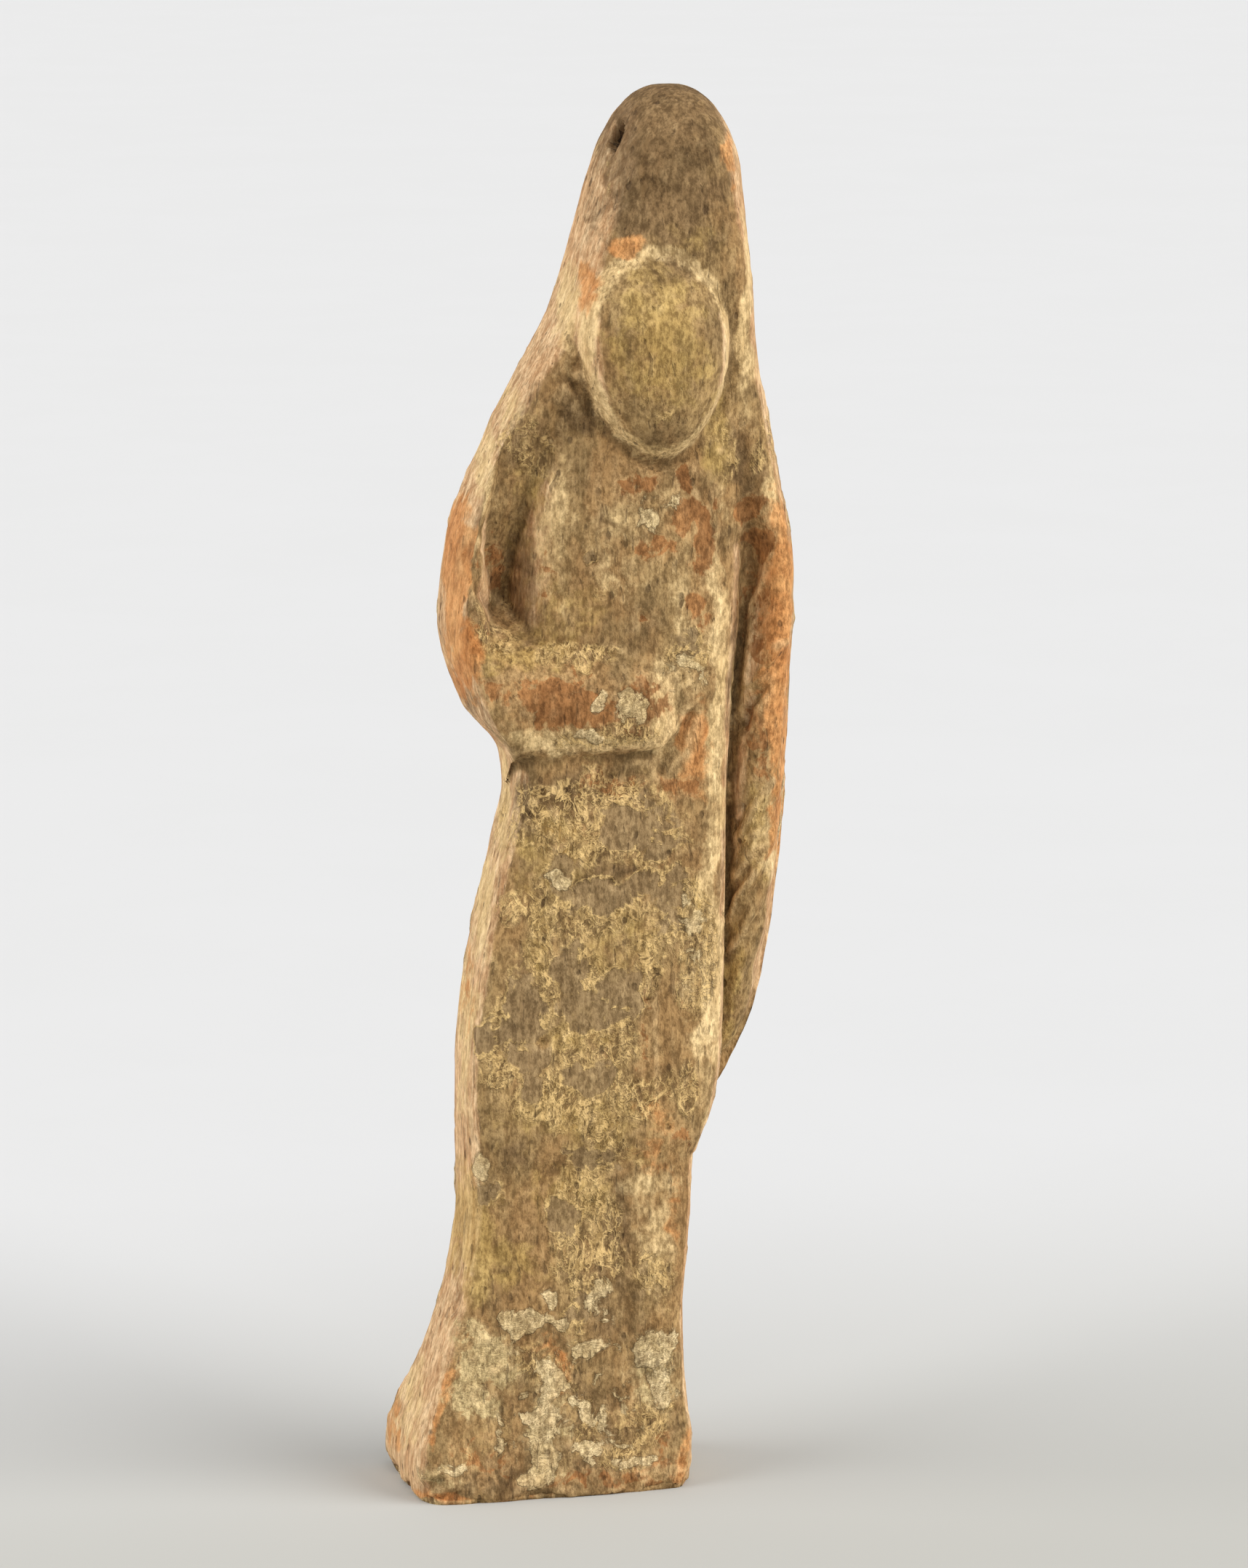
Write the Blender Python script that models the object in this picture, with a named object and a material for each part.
"""Veiled standing figure in fired clay, one solid resting on its own flat underside.

The skin is lofted through level sections. Each section has a front and a back half that meet at the
side seams. The back is a plain rounded profile. The front is the blended top of a few raised forms:
the mantle, the body, the two arms and the face, each a function of the place across and up the figure.

Every form is drawn on a grid 200 units high, 58 wide and 30 deep, so all its numbers are shares of the
figure's own height, width and depth. The origin is the middle of the base, +Z is up and -Y is the front.
"""
import math

import bmesh
import bpy
import numpy as np
from mathutils import Matrix, Vector

# Driving dimensions in metres
FIGURE_HEIGHT = 0.200
FIGURE_WIDTH = 0.058
FIGURE_DEPTH = 0.030
FOOT_ROUNDING = 0.0008
HEM_STEP = 0.0005
HOOD_HOLE_WIDTH = 0.0034
HOOD_HOLE_LENGTH = 0.0047
HOOD_HOLE_DEPTH = 0.0036

# The drawing grid, in units across, deep and high
GRID_WIDTH = 58.0
GRID_DEPTH = 30.0
GRID_HEIGHT = 200.0
MIDDLE_DEPTH = 1.5
DOME_RISE = 13.0
DOME_LEVEL = GRID_HEIGHT - DOME_RISE
DOME_POWER = 2.7

# How finely the skin is divided
ROW_COUNT = 70
DOME_ROWS = 7
COLUMN_COUNT = 60
BACK_SHARE = 0.4
SAMPLES_PER_HALF = 700
LEVEL_SAMPLES = 2000
SMALLEST_STEP = 1e-9
SECTION_SPREAD = 4.0
CLOSE_ROWS_FROM = 100.0
CLOSE_ROWS_TO = 182.0
CLOSE_ROW_FADE = 4.0
CLOSE_ROW_WEIGHT = 1.4
FOOT_ROW_SHARE = 0.3
SHARP_ANGLE = math.radians(55.0)

# Outlines of the figure, as level and place across, and the place of the side seams in the depth
LEFT_OUTLINE = ((0, -20.2), (4, -20.5), (18, -17.0), (31, -13.4), (42, -12.0), (60, -12.2), (78, -10.2),
                (94, -6.8), (102, -5.0), (106, -5.3), (113, -10.3), (125, -13.5), (137, -12.2),
                (152, -6.2), (170, 3.2), (187, 8.2), (200, 12.4))
RIGHT_OUTLINE = ((0, 20.4), (7, 20.8), (14, 20.0), (24, 19.7), (40, 21.1), (50, 21.8), (60, 28.0),
                 (68, 31.7), (84, 34.8), (100, 36.3), (118, 37.2), (132, 37.4), (150, 34.4), (163, 31.5),
                 (171, 30.8), (178, 30.5), (187, 30.2), (200, 27.5))
BACK_PROFILE = ((0, 12.6), (5, 12.2), (14, 10.4), (26, 9.2), (45, 8.6), (80, 9.0), (130, 10.4),
                (150, 10.4), (187, 8.6), (200, 8.0))
BACK_ROUNDNESS = ((0, 6.6), (4, 6.6), (22, 2.6), (200, 2.6))
SEAM_LINE = ((0, 1.5), (12, 1.0), (30, -2.5), (50, -3.0), (98, -2.6), (112, 0.6), (124, 1.5), (200, 1.5))
LEFT_SQUARENESS = ((0, 10.0), (18, 10.0), (34, 6.0), (46, 6.0), (60, 11.0), (98, 8.0), (118, 3.4), (134, 2.5), (200, 2.5))
RIGHT_SQUARENESS = ((0, 10.0), (30, 9.0), (60, 6.0), (96, 5.5), (112, 3.8), (136, 3.2), (152, 3.0),
                    (200, 2.7))
FURTHEST_FRONT = 24.0
FRONT_ROOT = 0.8

# Body under the cloth
WAIST_LEVEL = 102.0
SIDE_LEVEL = 48.0
BODY_ROOT = 0.85
TORSO_LEFT = ((102, -5.0), (116, -4.2), (136, -3.8), (144, -3.0), (150, -1.2), (156, 1.6), (174, 9.0))
TORSO_RIGHT = ((48, 22.0), (56, 24.9), (64, 26.1), (76, 26.5), (98, 26.7), (112, 28.0), (124, 29.4),
               (136, 30.2), (144, 30.6), (152, 29.0), (160, 25.0), (174, 20.0))
BODY_FRONT = ((0, 15.4), (16, 14.0), (30, 12.9), (44, 12.4), (60, 13.2), (100, 13.0), (124, 13.3),
              (144, 12.8), (158, 10.5), (166, 6.0), (174, 0.0))
HEM_LEVEL = 46.8
HEM_SLOPE = 0.06
HEM_START = -12.0
HEM_RISE = (-0.4, 2.4)
HEM_FADE = (64.0, 50.0)
HEM_SQUARENESS = 6.0

# Shallow swells and dips of the body, as height, place across, half width, level and half height
BODY_SWELLS = ((-0.9, 8.0, 10.0, 14.0, 16.0), (0.5, 12.0, 15.0, 137.0, 14.0), (-0.5, 9.0, 16.0, 103.0, 9.0))

# Mantle
MANTLE_FRONT = ((56, 3.0), (100, 5.0), (112, 6.0), (120, 8.0), (142, 10.0), (166, 12.4), (178, 13.4),
                (187, 12.8), (200, 10.0))
MANTLE_SQUARENESS = ((130, 3.4), (146, 3.4), (156, 4.3), (168, 4.3), (188, 2.3), (200, 2.3))
MANTLE_ROOT = 0.85
HOLLOW_CREST = ((112, -9.5), (124, -10.8), (134, -10.6), (142, -9.0), (150, -6.0), (160, 0.5))
HOLLOW_FOOT = ((112, -3.4), (134, -2.6), (142, -1.8), (148, -0.4), (154, 2.2), (160, 5.5))
HOLLOW_DEPTH = ((108, 0.0), (114, 3.2), (121, 5.2), (127, 5.2), (144, 3.6), (152, 2.0), (161, 0.0))
HOLLOW_EVENNESS = 0.65
HOLLOW_FADE = (18.0, 9.0)
GROOVE_RIM = ((100, 30.5), (120, 30.5), (126, 31.2), (134, 33.2), (138, 33.0), (150, 29.0))
GROOVE_DEPTH = ((56, 1.0), (62, 2.0), (100, 3.0), (120, 3.8), (127, 3.0), (135, 1.2), (142, 0.0))
GROOVE_WALL = 3.6

# Bent arm
UPPER_ARM_LINE = ((106, -6.8), (118, -9.4), (126, -10.8), (134, -10.8), (150, -6.6))
UPPER_ARM_FRONT = ((103, 0.0), (107, 5.0), (112, 10.6), (118, 12.2), (126, 11.0), (142, 9.0),
                   (150, 7.6), (158, 4.0), (166, 0.0))
UPPER_ARM_HALF_WIDTH = ((104, 3.0), (112, 5.2), (120, 5.6), (128, 4.8), (136, 3.6), (146, 3.0))
UPPER_ARM_SQUARENESS = 2.3
UPPER_ARM_ROOT = 2.0
UPPER_ARM_INNER_SLOPE = 0.7
UPPER_ARM_FALL = 3.0
INNER_TURN = 0.2
CREASE_LINE = ((120, -6.0), (126, -7.6), (131, -9.8), (136, -11.6), (141, -11.6), (146, -9.8))
CREASE_DEPTH = ((121, 0.0), (126, 0.8), (142, 0.8), (147, 0.0))
CREASE_HALF_WIDTH = 1.6
FOREARM_ELBOW = -8.5
FOREARM_LENGTH = 24.0
FOREARM_MIDDLE = (114.2, 112.2)
FOREARM_REACH_DOWN = (8.6, 6.1)
FOREARM_REACH_UP = ((-11, 9.4), (-4, 9.6), (2, 10.6), (7, 12.4), (18, 12.4))
FOREARM_FRONT = ((-12, 12.6), (-6, 14.4), (0, 15.3), (8, 15.9), (14, 16.0), (18, 15.6))
FOREARM_BASE = 8.5
HAND_END = 11.4
HAND_LENGTH = 7.4
ELBOW_END = -9.0
ELBOW_LENGTH = 5.0
LOWER_SQUARENESS = 2.2
LOWER_FALL = 1.6
ROLL_HALF_TURN = 0.5

# Hanging arm
ARM_INNER_LINE = ((48, 18.0), (58, 22.0), (64, 23.4), (80, 24.4), (100, 25.2), (113, 26.6),
                  (119, 27.6), (126, 29.2), (131, 29.8), (137, 28.4), (143, 25.5), (156, 24.0))
ARM_FRONT = ((48, 0.0), (58, 3.4), (66, 6.8), (80, 8.4), (102, 9.8), (116, 10.4), (122, 11.0),
             (134, 10.6), (146, 10.0), (156, 9.0), (166, 5.0), (172, 0.0))
ARM_SQUARENESS = 2.3
ARM_ROOT = 2.0
ARM_INNER_SLOPE = 0.5
ARM_FALL = 2.0
SMALLEST_HALF_WIDTH = 0.5
SLEEVE_EDGE_PLACE = (28.0, 113.4)
SLEEVE_EDGE_SLOPE = 1.25
SLEEVE_EDGE_STEP = 0.9
SLEEVE_EDGE_RISE = (-1.2, 0.8)
SLEEVE_FADE_SLOPE = 0.6
SLEEVE_FADE_UP = (124.0, 116.0)
SLEEVE_FADE_IN = (27.0, 29.0)
ARM_FOLDS = ((90.0, 0.9), (84.5, 0.9), (79.0, 0.8), (73.0, 0.6))
ARM_FOLD_SLOPE = 1.6
ARM_FOLD_HALF_WIDTH = 2.6
ARM_FOLD_LEFT = (26.0, 29.0)
ARM_FOLD_RIGHT = (36.5, 33.5)

# Head
FACE_MIDDLE = 15.0
FACE_LEVEL = 163.2
FACE_HALF_WIDTH = 10.9
FACE_HALF_HEIGHT = 15.2
FACE_LEAN = 0.5
FACE_WIDENING = 0.10
FACE_NARROWING = 0.05
FACE_BASE = 10.0
FACE_RISE = 7.4
FACE_SQUARENESS = 2.9
FACE_FALL = 5.0
BROW_DROP = 0.16
BROW_RAMP = (0.1, 1.0)
FACE_GROOVE = 0.9
FACE_GROOVE_RADIUS = 1.04
FACE_GROOVE_WIDTH = 0.2
FACE_GROOVE_FADE = (0.8, 0.1)

# How wide the corners between neighbouring forms are filled
BODY_BLEND = 1.6
HANGING_ARM_BLEND = 2.0
UPPER_ARM_BLEND = 1.6
FOREARM_BLEND = 1.8
FACE_BLEND = 1.1
EDGE_BLEND = 1.2

# Hole in the hood: how far it is from the crown, the left edge and the seam, and the way it looks out
HOLE_BELOW_CROWN = 6.6
HOLE_PAST_EDGE = 0.3
HOLE_AHEAD = 4.3
HOLE_OUTWARD = (-0.78, -0.42, 0.46)
HOLE_SLANT = math.radians(24.0)
HOLE_TAPER = 0.62
HOLE_STANDOFF = 0.0015
HOLE_SIDES = 14


def curve(stations, place):
    """Smooth value at each place, through the stations, without overshoot between them."""
    table = np.array(stations, dtype=float)
    at, value = table[:, 0], table[:, 1]
    gap = np.diff(at)
    slope = np.diff(value) / gap
    tangent = np.zeros_like(value)
    tangent[0] = slope[0]
    tangent[-1] = slope[-1]
    for index in range(1, len(at) - 1):
        before, after = slope[index - 1], slope[index]
        if before * after > 0:
            first = 2 * gap[index] + gap[index - 1]
            second = gap[index] + 2 * gap[index - 1]
            tangent[index] = (first + second) / (first / before + second / after)
    place = np.clip(np.asarray(place, dtype=float), at[0], at[-1])
    piece = np.clip(np.searchsorted(at, place, side="right") - 1, 0, len(gap) - 1)
    part = (place - at[piece]) / gap[piece]
    rest = 1 - part
    return ((1 + 2 * part) * rest ** 2 * value[piece] + part * rest ** 2 * gap[piece] * tangent[piece]
            + part ** 2 * (3 - 2 * part) * value[piece + 1]
            - part ** 2 * rest * gap[piece] * tangent[piece + 1])


def ramp(value, low, high):
    """Smooth step from 0 at low to 1 at high, in either order."""
    part = np.clip((value - low) / (high - low), 0, 1)
    return part * part * (3 - 2 * part)


def hill(value):
    """Smooth bump, 1 at 0 and 0 from -1 and 1 outwards."""
    return np.where(np.abs(value) < 1, (1 - value * value) ** 2, 0.0)


def arch(across, power, root):
    """Profile over a width, 1 in the middle and 0 at -1 and 1, squarer with a higher power."""
    return np.clip(1 - np.abs(across) ** power, 0, 1) ** (1 / root)


def boss(radius, power, fall):
    """Rounded boss, 1 in the middle and 0 at radius 1, falling further outside."""
    return np.sqrt(np.clip(1 - radius ** power, 0, 1)) - fall * np.clip(radius - 1, 0, None)


def blend(first, second, width):
    """Higher of two surfaces, with the corner between them filled over the width."""
    part = np.clip(0.5 + 0.5 * (first - second) / width, 0, 1)
    return second + (first - second) * part + width * part * (1 - part)


def crown_share(level):
    """Share of the full section left at a level, 1 below the dome and 0 at the top."""
    part = np.clip((level - DOME_LEVEL) / (GRID_HEIGHT - DOME_LEVEL), 0, 1)
    return (1 - part ** DOME_POWER) ** (1 / DOME_POWER)


def side_edges(level):
    """Left and right ends of the section at a level."""
    left, right = curve(LEFT_OUTLINE, level), curve(RIGHT_OUTLINE, level)
    middle = (left + right) / 2
    half = (right - left) / 2 * crown_share(level)
    return middle - half, middle + half


def share_across(x, left, right):
    """Place across a width, from -1 at its left to 1 at its right."""
    return np.clip((2 * x - left - right) / (right - left), -1, 1)


def body_form(x, z):
    """Torso, skirt and spreading base, with the hem of the overfold."""
    left = np.where(z < WAIST_LEVEL, curve(LEFT_OUTLINE, z), curve(TORSO_LEFT, z))
    right = np.where(z < SIDE_LEVEL, curve(RIGHT_OUTLINE, z), curve(TORSO_RIGHT, z))
    across = share_across(x, left, right)
    power = np.where(across < 0, curve(LEFT_SQUARENESS, z), curve(RIGHT_SQUARENESS, z))
    front = curve(BODY_FRONT, z) * arch(across, power, power * BODY_ROOT)
    above_hem = z - HEM_LEVEL - HEM_SLOPE * (x - HEM_START)
    step = HEM_STEP / FIGURE_DEPTH * GRID_DEPTH * arch(across, HEM_SQUARENESS, HEM_SQUARENESS)
    front = front + step * ramp(above_hem, *HEM_RISE) * ramp(z, *HEM_FADE)
    for height, place, half_width, level, half_height in BODY_SWELLS:
        front = front + height * hill((x - place) / half_width) * hill((z - level) / half_height)
    return front


def mantle_form(x, z):
    """Veil and mantle: hood, shoulders, the hollow by the bent arm and the groove by the other."""
    power = curve(MANTLE_SQUARENESS, z)
    front = curve(MANTLE_FRONT, z) * arch(share_across(x, *side_edges(z)), power, MANTLE_ROOT * power)
    crest, foot = curve(HOLLOW_CREST, z), curve(HOLLOW_FOOT, z)
    down = np.clip((x - crest) / (foot - crest), 0, 1)
    fall = HOLLOW_EVENNESS * down + (1 - HOLLOW_EVENNESS) * ramp(down, 0, 1)
    front = front - curve(HOLLOW_DEPTH, z) * fall * ramp(x, *HOLLOW_FADE)
    rim = curve(GROOVE_RIM, z)
    return front - curve(GROOVE_DEPTH, z) * ramp(x, rim, rim - GROOVE_WALL)


def upper_arm_form(x, z):
    """Bent arm from the shoulder to the elbow, with the crease where the mantle laps it."""
    across = (x - curve(UPPER_ARM_LINE, z)) / curve(UPPER_ARM_HALF_WIDTH, z)
    eased = UPPER_ARM_INNER_SLOPE * ramp(across, 0, INNER_TURN)
    front = curve(UPPER_ARM_FRONT, z) * arch(np.clip(across, -1, 1), UPPER_ARM_SQUARENESS - eased,
                                             UPPER_ARM_ROOT - eased)
    front = front - UPPER_ARM_FALL * np.clip(np.abs(across) - 1, 0, None)
    return front - curve(CREASE_DEPTH, z) * hill((x - curve(CREASE_LINE, z)) / CREASE_HALF_WIDTH)


def forearm_form(x, z):
    """Forearm laid across the waist, with the closed hand at its end."""
    along = np.clip((x - FOREARM_ELBOW) / FOREARM_LENGTH, 0, 1)
    middle = FOREARM_MIDDLE[0] + (FOREARM_MIDDLE[1] - FOREARM_MIDDLE[0]) * along
    reach_down = FOREARM_REACH_DOWN[0] + (FOREARM_REACH_DOWN[1] - FOREARM_REACH_DOWN[0]) * along
    rise = (z - middle) / np.where(z < middle, reach_down, curve(FOREARM_REACH_UP, x))
    hand_end = np.clip((x - HAND_END) / HAND_LENGTH, 0, None)
    elbow_end = np.clip((ELBOW_END - x) / ELBOW_LENGTH, 0, None)
    radius = np.sqrt(rise ** 2 + hand_end ** 2 + elbow_end ** 2)
    upper, lower = 1 - radius * radius, boss(radius, LOWER_SQUARENESS, LOWER_FALL)
    roll = lower + (upper - lower) * ramp(rise, -ROLL_HALF_TURN, ROLL_HALF_TURN)
    return FOREARM_BASE + (curve(FOREARM_FRONT, x) - FOREARM_BASE) * roll


def hanging_arm_form(x, z):
    """Arm at the side under the mantle, with the sleeve's edge and the slanting folds below it."""
    right = side_edges(z)[1]
    inner = curve(ARM_INNER_LINE, z)
    half = np.maximum((right - inner) / 2, SMALLEST_HALF_WIDTH)
    across = (x - (inner + right) / 2) / half
    eased = ARM_INNER_SLOPE * ramp(across, 0, -INNER_TURN)
    front = curve(ARM_FRONT, z) * arch(np.clip(across, -1, 1), ARM_SQUARENESS - eased, ARM_ROOT - eased)
    front = front - ARM_FALL * np.clip(np.abs(across) - 1, 0, None)
    past = x - SLEEVE_EDGE_PLACE[0]
    above_edge = z - SLEEVE_EDGE_PLACE[1] - SLEEVE_EDGE_SLOPE * past
    fade = ramp(z - SLEEVE_FADE_SLOPE * past, *SLEEVE_FADE_UP) * ramp(x, *SLEEVE_FADE_IN)
    front = front + SLEEVE_EDGE_STEP * ramp(above_edge, *SLEEVE_EDGE_RISE) * fade
    for level, height in ARM_FOLDS:
        fold = hill((z - level - ARM_FOLD_SLOPE * past) / ARM_FOLD_HALF_WIDTH)
        front = front + height * fold * ramp(x, *ARM_FOLD_LEFT) * ramp(x, *ARM_FOLD_RIGHT)
    return front


def face_radius(x, z):
    """Distance from the middle of the face, 1 at its edge, and the share of its height above it."""
    up = (z - FACE_LEVEL) / FACE_HALF_HEIGHT
    half = FACE_HALF_WIDTH * (1 + FACE_WIDENING * up - FACE_NARROWING * up * up)
    return np.hypot((x - FACE_MIDDLE + FACE_LEAN * up) / half, up), up


def face_form(x, z):
    """Worn smooth oval of the face, lower at the brow."""
    radius, up = face_radius(x, z)
    return FACE_BASE + FACE_RISE * boss(radius, FACE_SQUARENESS, FACE_FALL) * (1 - BROW_DROP
                                                                              * ramp(up, *BROW_RAMP))


def face_groove(x, z):
    """Depth of the sunk line between the face and the cloth, fading out over the brow."""
    radius, up = face_radius(x, z)
    return FACE_GROOVE * hill((radius - FACE_GROOVE_RADIUS) / FACE_GROOVE_WIDTH) * ramp(up, *FACE_GROOVE_FADE)


def front_depth(x, z):
    """How far the front stands ahead of the middle depth, the blended top of all the forms."""
    front = blend(mantle_form(x, z), body_form(x, z), BODY_BLEND)
    front = blend(front, hanging_arm_form(x, z), HANGING_ARM_BLEND)
    front = blend(front, upper_arm_form(x, z), UPPER_ARM_BLEND)
    front = blend(front, forearm_form(x, z), FOREARM_BLEND)
    front = blend(front - face_groove(x, z), face_form(x, z), FACE_BLEND)
    across = share_across(x, *side_edges(z))
    power = np.where(across < 0, curve(LEFT_SQUARENESS, z), curve(RIGHT_SQUARENESS, z))
    limit = FURTHEST_FRONT * arch(across, power, power * FRONT_ROOT)
    return np.maximum(-blend(-front, -limit, EDGE_BLEND), MIDDLE_DEPTH - curve(SEAM_LINE, z))


def back_depth(x, z):
    """How far the plain back stands behind the middle depth."""
    power = curve(BACK_ROUNDNESS, z)
    ahead = MIDDLE_DEPTH - curve(SEAM_LINE, z)
    return (curve(BACK_PROFILE, z) + ahead) * arch(share_across(x, *side_edges(z)), power, power) - ahead


def row_levels():
    """Levels of the sections, closer together over the arms and head and round the dome."""
    level = np.linspace(0, DOME_LEVEL, LEVEL_SAMPLES)
    close = ramp(level, CLOSE_ROWS_FROM - CLOSE_ROW_FADE, CLOSE_ROWS_FROM + CLOSE_ROW_FADE)
    close = close * ramp(level, CLOSE_ROWS_TO + CLOSE_ROW_FADE, CLOSE_ROWS_TO - CLOSE_ROW_FADE)
    count = np.cumsum(1 + CLOSE_ROW_WEIGHT * close)
    wall_rows = ROW_COUNT - DOME_ROWS
    wall = np.interp(np.linspace(count[0], count[-1], wall_rows), count, level)
    turn = np.linspace(0, math.pi / 2, DOME_ROWS + 2)[1:-1]
    dome = DOME_LEVEL + DOME_RISE * np.sin(turn) ** (2 / DOME_POWER)
    foot = FOOT_ROUNDING / FIGURE_HEIGHT * GRID_HEIGHT
    return np.concatenate([[0, FOOT_ROW_SHARE * foot, foot], wall[1:], dome])


def section_points(levels):
    """Points of every section, spread evenly along its outline, wider apart on the back."""
    turn = np.linspace(0, math.pi, SAMPLES_PER_HALF)
    half = -np.cos(turn)
    across = np.concatenate([half, -half[1:]])
    is_front = np.arange(across.size) < SAMPLES_PER_HALF
    left, right = side_edges(levels)
    x = ((left + right) / 2)[:, None] + ((right - left) / 2)[:, None] * across
    z = np.repeat(levels[:, None], across.size, axis=1)
    y = MIDDLE_DEPTH + np.where(is_front, -front_depth(x, z), back_depth(x, z)) * crown_share(z)
    nearness = np.exp(-((levels[:, None] - levels) / SECTION_SPREAD) ** 2)
    nearness = nearness / nearness.sum(axis=1, keepdims=True)
    step = np.hypot(np.diff(nearness @ x, axis=1), np.diff(nearness @ y, axis=1))
    step = step * np.where(is_front[1:], 1.0, BACK_SHARE) + SMALLEST_STEP
    length = np.concatenate([np.zeros((levels.size, 1)), np.cumsum(step, axis=1)], axis=1)
    wanted = np.linspace(0, 1, COLUMN_COUNT + 1)[:-1]
    index = np.arange(across.size)
    rings = []
    for row in range(levels.size):
        place = np.interp(wanted * length[row, -1], length[row], index)
        ring_x, ring_y = np.interp(place, index, x[row]), np.interp(place, index, y[row])
        rings.append(np.column_stack([ring_x, ring_y, z[row, :COLUMN_COUNT]]))
    return np.array(rings)


def round_foot(rings):
    """Draw in the lowest sections so the underside has a worn round edge."""
    foot = FOOT_ROUNDING / FIGURE_HEIGHT * GRID_HEIGHT
    above = np.clip(rings[:, 0, 2] / foot, 0, 1)
    inset = foot * (1 - np.sqrt(1 - (1 - above) ** 2))
    half_width = np.ptp(rings[:, :, 0], axis=1) / 2
    share = (1 - inset / half_width)[:, None]
    rings[:, :, 0] = rings[:, :, 0] * share
    rings[:, :, 1] = MIDDLE_DEPTH + (rings[:, :, 1] - MIDDLE_DEPTH) * share
    return rings


def to_metres(points):
    """Grid units to metres on the three axes."""
    return points * np.array([FIGURE_WIDTH / GRID_WIDTH, FIGURE_DEPTH / GRID_DEPTH,
                              FIGURE_HEIGHT / GRID_HEIGHT])


def add_object(name, shape):
    """Put a finished bmesh into the scene as a named object."""
    mesh = bpy.data.meshes.new(name)
    shape.to_mesh(mesh)
    shape.free()
    item = bpy.data.objects.new(name, mesh)
    bpy.context.scene.collection.objects.link(item)
    return item


def loft_skin(rings):
    """Closed skin through the rings, with a flat underside and a pole at the crown."""
    shape = bmesh.new()
    loops = [[shape.verts.new(point) for point in ring] for ring in rings.tolist()]
    pole_place = rings[-1].mean(axis=0)
    pole_place[2] = FIGURE_HEIGHT
    pole = shape.verts.new(pole_place.tolist())
    count = len(loops[0])
    for lower, upper in zip(loops, loops[1:]):
        for here in range(count):
            there = (here + 1) % count
            shape.faces.new((lower[here], lower[there], upper[there], upper[here]))
    for here in range(count):
        shape.faces.new((loops[-1][here], loops[-1][(here + 1) % count], pole))
    shape.faces.new(list(reversed(loops[0])))
    return shape


def clay_material():
    """Matt ochre clay with the remains of a pale slip."""
    material = bpy.data.materials.new("fired_clay")
    material.use_nodes = True
    shader = material.node_tree.nodes["Principled BSDF"]
    shader.inputs["Base Color"].default_value = (0.43, 0.29, 0.145, 1.0)
    shader.inputs["Roughness"].default_value = 0.88
    shader.inputs["Metallic"].default_value = 0.0
    return material


def hood_hole_place():
    """Place of the hole on the grid, low on the crown by the left edge of the front."""
    level = GRID_HEIGHT - HOLE_BELOW_CROWN
    return np.array([side_edges(level)[0] - HOLE_PAST_EDGE, MIDDLE_DEPTH - HOLE_AHEAD, level])


def hood_hole_cutter():
    """Slanting tapered plug that cuts the hole in the side of the hood."""
    shape = bmesh.new()
    flare = (1 - HOLE_TAPER) * HOLE_STANDOFF / HOOD_HOLE_DEPTH
    bmesh.ops.create_cone(shape, cap_ends=True, segments=HOLE_SIDES, radius1=0.5 * HOLE_TAPER,
                          radius2=0.5 * (1 + flare), depth=HOOD_HOLE_DEPTH + HOLE_STANDOFF)
    wide = Matrix.Diagonal((HOOD_HOLE_WIDTH, HOOD_HOLE_LENGTH, 1.0, 1.0))
    bmesh.ops.transform(shape, matrix=wide, verts=shape.verts)
    cutter = add_object("hood_hole_cutter", shape)
    outward = Vector(HOLE_OUTWARD).normalized()
    turned = outward.to_track_quat("Z", "Y").to_matrix().to_4x4()
    surface = Vector(to_metres(hood_hole_place()).tolist())
    middle = surface + outward * (HOLE_STANDOFF - HOOD_HOLE_DEPTH) / 2
    cutter.matrix_world = Matrix.Translation(middle) @ turned @ Matrix.Rotation(HOLE_SLANT, 4, "Z")
    cutter.display_type = "WIRE"
    cutter.hide_render = True
    return cutter


def build_figure():
    """Model the figure and cut the hole in its hood."""
    rings = to_metres(round_foot(section_points(row_levels())))
    figure = add_object("figure", loft_skin(rings))
    figure.data.materials.append(clay_material())
    figure.data.shade_smooth()
    figure.data.set_sharp_from_angle(angle=SHARP_ANGLE)
    cut = figure.modifiers.new("hood_hole", "BOOLEAN")
    cut.operation = "DIFFERENCE"
    cut.solver = "EXACT"
    cut.object = hood_hole_cutter()
    return figure


def clear_scene():
    """Remove whatever the scene starts with."""
    for item in list(bpy.data.objects):
        bpy.data.objects.remove(item, do_unlink=True)


clear_scene()
build_figure()
